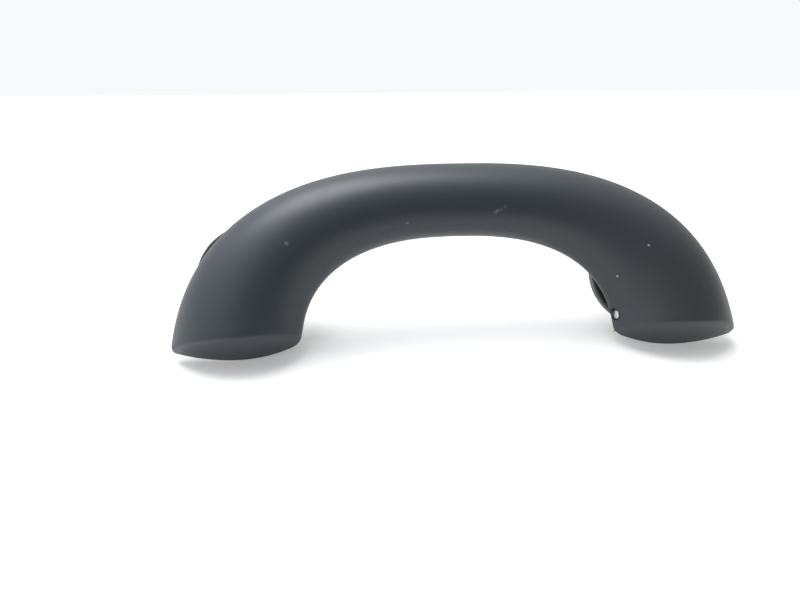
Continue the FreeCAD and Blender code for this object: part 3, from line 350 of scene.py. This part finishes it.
class Socket:
    """One socket of a material's node tree, so that shader maths reads as plain sums."""

    def __init__(self, tree, socket=None):
        self.tree = tree
        self.socket = socket

    def maths(self, operation, other, clamp=False, swap=False):
        node = self.tree.nodes.new("ShaderNodeMath")
        node.operation = operation
        node.use_clamp = clamp
        first, second = (other, self) if swap else (self, other)
        for number, value in enumerate((first, second)):
            if isinstance(value, Socket):
                self.tree.links.new(value.socket, node.inputs[number])
            else:
                node.inputs[number].default_value = value
        return Socket(self.tree, node.outputs[0])

    def __add__(self, other):
        return self.maths("ADD", other)

    def __radd__(self, other):
        return self.maths("ADD", other)

    def __sub__(self, other):
        return self.maths("SUBTRACT", other)

    def __rsub__(self, other):
        return self.maths("SUBTRACT", other, swap=True)

    def __mul__(self, other):
        return self.maths("MULTIPLY", other)

    def __rmul__(self, other):
        return self.maths("MULTIPLY", other)

    def clamp(self):
        return self.maths("ADD", 0.0, clamp=True)

    def add(self, kind, settings=None, output=0, **values):
        """Any other node: its settings are set first, then the values or links of its sockets.

        A socket is named with underscores for spaces, or as n and its number."""
        node = self.tree.nodes.new(kind)
        for name, value in (settings or {}).items():
            setattr(node, name, value)
        for name, value in values.items():
            key = int(name[1:]) if name[0] == "n" and name[1:].isdigit() else name.replace("_", " ")
            target = node.inputs[key]
            if isinstance(value, Socket):
                self.tree.links.new(value.socket, target)
            else:
                target.default_value = value
        return Socket(self.tree, node.outputs[output])

    def soft_step(self, low, high):
        """0 below low and 1 above high, with a soft change between them."""
        return self.add("ShaderNodeMapRange", {"interpolation_type": "SMOOTHSTEP"},
                        Value=self, From_Min=low, From_Max=high)


def new_material(name):
    """A material with one shader; gives the material, its shader and the Object coordinates."""
    material = bpy.data.materials.new(name)
    material.use_nodes = True
    shader = material.node_tree.nodes["Principled BSDF"]
    place = Socket(material.node_tree).add("ShaderNodeTexCoord", output="Object")
    return material, shader, place


def feed(node, name, value):
    """Join a varying value to one of a node's sockets."""
    value.tree.links.new(value.socket, node.inputs[name])


def linear(red, green, blue):
    """A colour written as it looks on screen, from 0 to 255."""
    def one(value):
        value = value / 255
        return value / 12.92 if value <= 0.04045 else ((value + 0.055) / 1.055) ** 2.4
    return (one(red), one(green), one(blue), 1.0)


def mix(first, second, share):
    """Mix two colours, either of which may be a socket."""
    return share.add("ShaderNodeMix", {"data_type": "RGBA"}, output=2, n0=share, n6=first, n7=second)


def rubbed_spot(place, centre, radius, uneven):
    """A soft round patch about one point of the surface, with a ragged edge."""
    edge_wander, full_until = 1.2, 0.45
    away = place.add("ShaderNodeVectorMath", {"operation": "DISTANCE"}, output=1, n0=place, n1=centre)
    ragged = away + (uneven - 0.5) * (radius * edge_wander)
    return 1 - ragged.soft_step(radius * full_until, radius)


def moulded_plastic(name, colour, cool, painted_warm_side, roughness, grain_depth, spots=(), coat=0.0):
    """Dull moulded plastic: a close satin grain, slow changes of tone and light rubbing.

    The tone is warmer towards the right, a painted tint of light: the cooler light falls from the
    left. Each rubbed spot has a place, a radius and a strength."""
    material, shader, place = new_material(name)
    grain = place.add("ShaderNodeTexNoise", Vector=place, Scale=2600.0, Detail=3.0, Roughness=0.6)
    pores = place.add("ShaderNodeTexVoronoi", Vector=place, Scale=1500.0)
    tone = place.add("ShaderNodeTexNoise", Vector=place, Scale=22.0, Detail=3.0, Roughness=0.55)
    rubbed = place.add("ShaderNodeTexNoise", Vector=place, Scale=160.0, Detail=6.0, Roughness=0.7)
    across = place.add("ShaderNodeSeparateXYZ", output="X", Vector=place)
    base = mix(linear(*colour), linear(*cool), tone.soft_step(0.35, 0.7))
    # Painted light: a warmer tone towards the right stands for the cooler light falling from the
    # left.
    base = mix(base, linear(*painted_warm_side), across.soft_step(-0.02, 0.11) * 0.7)
    if spots:
        uneven = place.add("ShaderNodeTexNoise", Vector=place, Scale=900.0, Detail=4.0)
        pale = linear(176, 178, 178)
        for centre, radius, strength in spots:
            base = mix(base, pale, rubbed_spot(place, centre, radius, uneven) * strength)
    feed(shader, "Base Color", base)
    feed(shader, "Roughness", roughness + (rubbed - 0.5) * 0.12 + (grain - 0.5) * 0.1)
    height = grain * 0.7 + pores * 0.5
    bump = place.add("ShaderNodeBump", Height=height, Strength=grain_depth, Distance=0.00004)
    feed(shader, "Normal", bump)
    if coat:
        shader.inputs["Coat Weight"].default_value = coat
        shader.inputs["Coat Roughness"].default_value = 0.35
    return material


# A faint scuff on the front of the arch, two small rubs, and two specks on the right leg.
rub_marks = (
    (12.5, 21.9, 0.9, 0.14),
    (13.5, 22.5, 1.0, 0.18),
    (14.7, 22.9, 0.8, 0.13),
    (16.2, 23.9, 0.8, 0.11),
    (-20.0, 19.0, 0.8, 0.2),
    (-64.0, 12.0, 0.9, 0.2),
    (69.0, 8.0, 0.55, 0.7),
    (59.5, -3.0, 0.5, 0.7),
)
ahead_y = -60.0
backwards = Vector((0, 1, 0))
worn_spots = []
for x, z, radius, strength in rub_marks:
    on_front = skin_surface.ray_cast(Vector((x, ahead_y, z)) * mm, backwards)[0]
    worn_spots.append((on_front, radius * mm, strength))
charcoal = moulded_plastic(
    "grip_charcoal_moulding", colour=(44, 52, 59), cool=(42, 51, 60), painted_warm_side=(51, 52, 54),
    roughness=0.5, grain_depth=0.5, spots=worn_spots, coat=0.15,
)
made_of(grip_skin.data, charcoal)
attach(grip_skin, "grip")
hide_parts("grip_front_shell")

# Inside of the grip shell
# The ribs, hinge cheeks, pin seats, screw posts and stop bosses moulded inside the same shell.
# Their mesh is the solid's own, with its outside drawn back just under the smooth skin.
weld, draw_back, least_under = 0.002, 0.3, 0.28
near_skin, near_rim = 1.2, 2.9
behind_rim, rim_band, rim_drop = 0.02, 0.01, 0.05
inside = bmesh.new()
inside.from_mesh(nodes["grip_front_shell"].data)
bmesh.ops.remove_doubles(inside, verts=inside.verts, dist=weld * mm)
for vert in inside.verts:
    nearest, normal, _, distance = skin_surface.find_nearest(vert.co)
    outside = (vert.co - nearest).dot(normal)
    before_rim = vert.co.y <= (rim_y + behind_rim) * mm
    if outside > -least_under * mm and distance < near_skin * mm and before_rim:
        vert.co = nearest - normal * draw_back * mm
    elif abs(vert.co.y - rim_y * mm) < rim_band * mm and distance < near_rim * mm:
        vert.co.y -= rim_drop * mm
grip_inside = new_piece("grip_inside", inside)
smooth(grip_inside.data, sharp_above=30)
made_of(grip_inside.data, charcoal)
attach(grip_inside, "grip")
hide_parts("grip_front_shell")

# Rear cover of the grip
# A low crowned moulding that closes the back of the arch and makes the palm side of the bar.
# It is the same charcoal plastic, held to the shell by four screws.
made_of(nodes["grip_rear_cover"].data, charcoal)

# Rosettes and screw covers
# Round trim cups on the panel behind each foot, and the snap-in caps over the mounting screws.
# Both are moulded in the grip's charcoal plastic, with a rounded front edge.
trim = moulded_plastic(
    "trim_charcoal_moulding", colour=(52, 56, 60), cool=(49, 54, 60), painted_warm_side=(55, 56, 58),
    roughness=0.42, grain_depth=0.45,
)
for hand in ("left", "right"):
    for part in ("rosette", "screw_cover"):
        made_of(nodes[hand + "_" + part].data, trim)

# Hinge brackets
# The two bases that the panel screws hold: black glass-filled nylon plates with two ears each,
# a post for the stop buffer and a bar for the spring or the damper.
nylon = moulded_plastic(
    "black_nylon", colour=(30, 31, 33), cool=(27, 29, 32), painted_warm_side=(33, 32, 32),
    roughness=0.5, grain_depth=0.35,
)
for hand in ("left", "right"):
    made_of(nodes[hand + "_hinge_bracket"].data, nylon)


# Hinge pins and their clips
# Drawn steel pins with a bright zinc finish, on which the feet turn. Each is kept in its foot by
# a blackened spring steel clip in a groove near its outer end.
def drawn_metal(name, colour, shade, roughness, along):
    """Plated steel with fine lines from drawing or turning and slight clouding."""
    material, shader, place = new_material(name)
    stretched = place.add("ShaderNodeMapping", Vector=place, Scale=along)
    lines = place.add("ShaderNodeTexNoise", Vector=stretched, Scale=1.0, Detail=4.0, Roughness=0.6)
    cloud = place.add("ShaderNodeTexNoise", Vector=place, Scale=400.0, Detail=4.0, Roughness=0.6)
    feed(shader, "Base Color", mix(linear(*colour), linear(*shade), cloud.soft_step(0.35, 0.75)))
    feed(shader, "Roughness", roughness + (cloud - 0.5) * 0.2 + (lines - 0.5) * 0.1)
    feed(shader, "Normal", place.add("ShaderNodeBump", Height=lines, Strength=0.25, Distance=0.00002))
    shader.inputs["Metallic"].default_value = 1.0
    return material


pin_steel = drawn_metal(
    "plated_pin_steel", colour=(205, 207, 208), shade=(176, 179, 182),
    roughness=0.3, along=(300.0, 3000.0, 3000.0),
)
clip_steel = drawn_metal(
    "clip_spring_steel", colour=(96, 96, 98), shade=(70, 70, 73),
    roughness=0.38, along=(2000.0, 2000.0, 2000.0),
)
for hand in ("left", "right"):
    made_of(nodes[hand + "_hinge_pin"].data, pin_steel)
    made_of(nodes[hand + "_pin_clip"].data, clip_steel)

# Cover screws
# Four cross-recess screws of zinc plated steel. They go in from behind, through the rear cover,
# and into the posts of the grip's front shell.
screw_steel = drawn_metal(
    "zinc_screw_steel", colour=(190, 193, 198), shade=(158, 160, 168),
    roughness=0.34, along=(2200.0, 2200.0, 2200.0),
)
for post in ("left_outer", "left_inner", "right_inner", "right_outer"):
    made_of(nodes["cover_screw_" + post].data, screw_steel)

# Pin bushes and spring spool
# Pale, slightly waxy moulded rings of natural acetal. The bushes are pressed into the brackets'
# ears for the pins to run in, and the spool carries the return spring.
acetal, acetal_shader, acetal_place = new_material("natural_acetal")
wax = acetal_place.add("ShaderNodeTexNoise", Vector=acetal_place, Scale=300.0, Detail=3.0)
fine = acetal_place.add("ShaderNodeTexNoise", Vector=acetal_place, Scale=2400.0, Detail=2.0)
acetal_colour = mix(linear(224, 222, 212), linear(208, 205, 194), wax.soft_step(0.3, 0.75))
acetal_bump = acetal_place.add("ShaderNodeBump", Height=fine, Strength=0.2, Distance=0.00002)
feed(acetal_shader, "Base Color", acetal_colour)
feed(acetal_shader, "Roughness", 0.38 + (wax - 0.5) * 0.15)
feed(acetal_shader, "Normal", acetal_bump)
acetal_shader.inputs["Subsurface Weight"].default_value = 0.1
acetal_shader.inputs["Subsurface Radius"].default_value = (0.001, 0.0009, 0.0007)
for name in ("left_inner_pin_bush", "left_outer_pin_bush", "right_inner_pin_bush",
             "right_outer_pin_bush", "left_spring_spool"):
    made_of(nodes[name].data, acetal)

# Return spring
# A close-wound torsion spring of round steel wire on the spool in the left foot. One leg hooks over
# the bracket's bar and the other presses inside the shell, so it winds as the grip folds out.
coil_pitch, coil_radius, coil_turns, wire_radius = 1.2988, 4.3, 6, 0.5974
steps_in_turn = 36
base_leg_slope, base_leg_length, front_leg_length = math.radians(20), 11.0, 6.2
leg_parts = (0.33, 0.66, 1.0)
mount_x = 80.5
turns = coil_turns - math.degrees(base_leg_slope) / 360
half_length = coil_pitch * turns / 2
start_turn = math.pi / 2 + base_leg_slope
wound = []
for step in range(steps_in_turn * coil_turns + 1):
    part = step / (steps_in_turn * coil_turns)
    turn = start_turn + turns * 2 * math.pi * part
    x = half_length * (2 * part - 1)
    wound.append((x, coil_radius * math.cos(turn), coil_radius * math.sin(turn)))
start_x, start_y, start_z = wound[0]
end_x, end_y, end_z = wound[-1]
base_leg = []
for part in reversed(leg_parts):
    away = base_leg_length * part
    y = start_y + math.cos(base_leg_slope) * away
    z = start_z + math.sin(base_leg_slope) * away
    base_leg.append((start_x, y, z))
front_leg = [(end_x, end_y - front_leg_length * part, end_z) for part in leg_parts]
spring_path = base_leg + wound + front_leg
spring_curve = bpy.data.curves.new("return_spring_line", "CURVE")
spring_curve.dimensions = "3D"
spring_curve.bevel_depth = wire_radius * mm
spring_curve.bevel_resolution = 4
spring_curve.use_fill_caps = True
spline = spring_curve.splines.new("POLY")
spline.points.add(len(spring_path) - 1)
for point, (x, y, z) in zip(spline.points, spring_path):
    point.co = ((x - mount_x) * mm, (y + pin_y) * mm, (z + pin_z) * mm, 1.0)
spring_line = bpy.data.objects.new("return_spring_line", spring_curve)
bpy.context.scene.collection.objects.link(spring_line)
return_spring = new_piece("return_spring", evaluated_mesh(spring_line))
bpy.data.objects.remove(spring_line)
smooth(return_spring.data, sharp_above=50)
spring_steel = drawn_metal(
    "spring_wire_steel", colour=(128, 130, 134), shade=(92, 93, 97),
    roughness=0.32, along=(2500.0, 900.0, 900.0),
)
made_of(return_spring.data, spring_steel)
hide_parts("left_return_spring")
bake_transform(return_spring)

# Damper
# The right hinge's oil damper: a dark barrel and cap held by the bracket, a pale vane rotor on the
# pin and a rubber ring between them.
damper = moulded_plastic(
    "damper_plastic", colour=(38, 40, 44), cool=(34, 37, 42), painted_warm_side=(40, 40, 42),
    roughness=0.36, grain_depth=0.3,
)
rotor_plastic = moulded_plastic(
    "rotor_plastic", colour=(196, 194, 184), cool=(184, 182, 172), painted_warm_side=(200, 196, 186),
    roughness=0.4, grain_depth=0.3,
)
made_of(nodes["right_damper_housing"].data, damper)
made_of(nodes["right_damper_cap"].data, damper)
made_of(nodes["right_damper_rotor"].data, rotor_plastic)

# Rubber parts
# Two stop buffers of black rubber, pressed into the bracket posts, which the grip meets when it
# is folded back. The damper's sealing ring is of the same rubber.
rubber = moulded_plastic(
    "black_rubber", colour=(26, 26, 27), cool=(23, 24, 26), painted_warm_side=(30, 29, 28),
    roughness=0.68, grain_depth=0.6,
)
for name in ("left_stop_buffer", "right_stop_buffer", "right_damper_seal"):
    made_of(nodes[name].data, rubber)


# Floor
# A plain pale sheet under the feet, which isn't part of the object. It rises away behind the handle,
# so the handle leans back on it a little, and it is clear from below. In bounced light and in most
# reflections it is darker, as painted shade, and in reflections under the handle its glow is painted
# light.
def ray_is(place, *kinds):
    """1 where the light's path is of one of these kinds, and 0 elsewhere."""
    return sum(place.add("ShaderNodeLightPath", output=kind) for kind in kinds)


front_y, back_y, side_x = -420.0, 530.0, 900.0
under_feet = Vector((0, -14.8, -30.5))
floor_slope = math.radians(27.5)
floor_pale, floor_shade_in_reflections = (0.72, 0.72, 0.72, 1.0), (0.16, 0.16, 0.16, 1.0)
floor_glow, bounce_share = 0.26, 0.65
uphill = Vector((0, math.cos(floor_slope), math.sin(floor_slope)))
floor_mesh = bmesh.new()
bmesh.ops.create_grid(floor_mesh, x_segments=1, y_segments=1, size=1.0)
for vert in floor_mesh.verts:
    end_y = back_y if vert.co.y > 0 else front_y
    travel = (end_y - under_feet.y) / uphill.y
    vert.co = (under_feet + uphill * travel + Vector((side_x * vert.co.x, 0, 0))) * mm
bmesh.ops.recalc_face_normals(floor_mesh, faces=floor_mesh.faces)
floor_mesh.faces.ensure_lookup_table()
if floor_mesh.faces[0].normal.z < 0:
    bmesh.ops.reverse_faces(floor_mesh, faces=floor_mesh.faces)
floor = new_piece("pale_floor", floor_mesh)
floor_material, floor_shader, floor_place = new_material("pale_floor")
floor_shader.inputs["Roughness"].default_value = 0.9
floor_shader.inputs["Specular IOR Level"].default_value = 0.1
floor_depth = floor_place.add("ShaderNodeSeparateXYZ", output="Y", Vector=floor_place)
# Painted shade: bounced light and reflections of the sheet away from under the handle take a dark
# colour, and bounce under the handle is dimmed.
under_handle = floor_depth.soft_step(-0.15, -0.05)
mirrored = ray_is(floor_place, "Is Glossy Ray", "Is Transmission Ray")
seen = (ray_is(floor_place, "Is Camera Ray") + mirrored * under_handle).clamp()
bounced = ray_is(floor_place, "Is Diffuse Ray") * under_handle * bounce_share
feed(floor_shader, "Base Color", mix(floor_shade_in_reflections, floor_pale, (seen + bounced).clamp()))
white = (1.0, 1.0, 1.0, 1.0)
# Painted light: the glow is seen by the camera and also in reflections of the sheet under the handle.
glow = floor_place.add("ShaderNodeEmission", Color=white, Strength=seen * floor_glow)
sheet = Socket(floor_place.tree, floor_shader.outputs[0])
lit_sheet = floor_place.add("ShaderNodeAddShader", n0=sheet, n1=glow)
clear = floor_place.add("ShaderNodeBsdfTransparent")
from_below = floor_place.add("ShaderNodeNewGeometry", output="Backfacing")
either_side = floor_place.add("ShaderNodeMixShader", n0=from_below, n1=lit_sheet, n2=clear)
feed(floor_place.tree.nodes["Material Output"], "Surface", either_side)
floor.data.materials.append(floor_material)

# Light
# Even pale surroundings, brighter to the left and above and dimmer in front, as beside a window.
# A large soft lamp stands above the front, and what the camera sees behind the handle is white.
world = bpy.data.worlds.new("light_tent")
bpy.context.scene.world = world
world.use_nodes = True
sky = world.node_tree.nodes["Background"]
sky.inputs["Color"].default_value = (0.97, 0.985, 1.0, 1.0)
direction = Socket(world.node_tree).add("ShaderNodeTexCoord", output="Generated")
across = direction.add("ShaderNodeSeparateXYZ", output="X", Vector=direction)
depth = direction.add("ShaderNodeSeparateXYZ", output="Y", Vector=direction)
height = direction.add("ShaderNodeSeparateXYZ", output="Z", Vector=direction)
frontal = (0.0 - depth).soft_step(0.25, 0.95)
leftward = (0.0 - across).soft_step(-0.6, 0.8)
upward = height.soft_step(0.2, 0.9)
side_window = (0.0 - across).soft_step(-0.1, 0.7)
least_level, left_gain, top_gain = 0.32, 0.66, 0.5
front_loss, window_gain = 0.48, 0.6
front_dimming = frontal * (front_loss - side_window * window_gain)
level = (least_level + leftward * left_gain + upward * top_gain) * (1 - front_dimming)
mirror_ray = ray_is(direction, "Is Glossy Ray", "Is Transmission Ray")
backdrop = depth.soft_step(-0.15, 0.35)
mirrored_white = mirror_ray * backdrop * (0.4 + leftward * 0.6)
seen = (ray_is(direction, "Is Camera Ray") + mirrored_white).clamp()
seen_white = 0.96
feed(sky, "Strength", seen * seen_white + (1 - seen) * level)

lamp_place, lamp_target = Vector((-0.25, -0.27, 0.82)), Vector((0.0, -0.02, 0.0))
lamp_light = bpy.data.lights.new("overhead_lamp", "AREA")
lamp_light.shape = "RECTANGLE"
lamp_light.size = 0.7
lamp_light.size_y = 0.5
lamp_light.energy = 9.0
lamp = bpy.data.objects.new("overhead_lamp", lamp_light)
lamp.location = lamp_place
lamp.rotation_euler = (lamp_target - lamp_place).to_track_quat("-Z", "Y").to_euler()
bpy.context.scene.collection.objects.link(lamp)

# Camera
# It stands at the photograph's viewing angle, close in front of the left half of the grip and
# slightly below its middle, level, turned a little to the right, and rolled by almost two degrees.
camera_place = Vector((-38.9, -254.7, -9.4))
camera_turn, camera_roll = math.radians(3.81), math.radians(1.84)
camera_data = bpy.data.cameras.new("camera")
camera_data.lens = 27.9
camera_data.sensor_width = 36.0
camera = bpy.data.objects.new("camera", camera_data)
camera.matrix_world = (
    Matrix.Translation(camera_place * mm)
    @ Matrix.Rotation(-camera_turn, 4, "Z")
    @ Matrix.Rotation(math.pi / 2, 4, "X")
    @ Matrix.Rotation(-camera_roll, 4, "Z")
)
bpy.context.scene.collection.objects.link(camera)
bpy.context.scene.camera = camera

bpy.context.scene.view_settings.view_transform = "Standard"
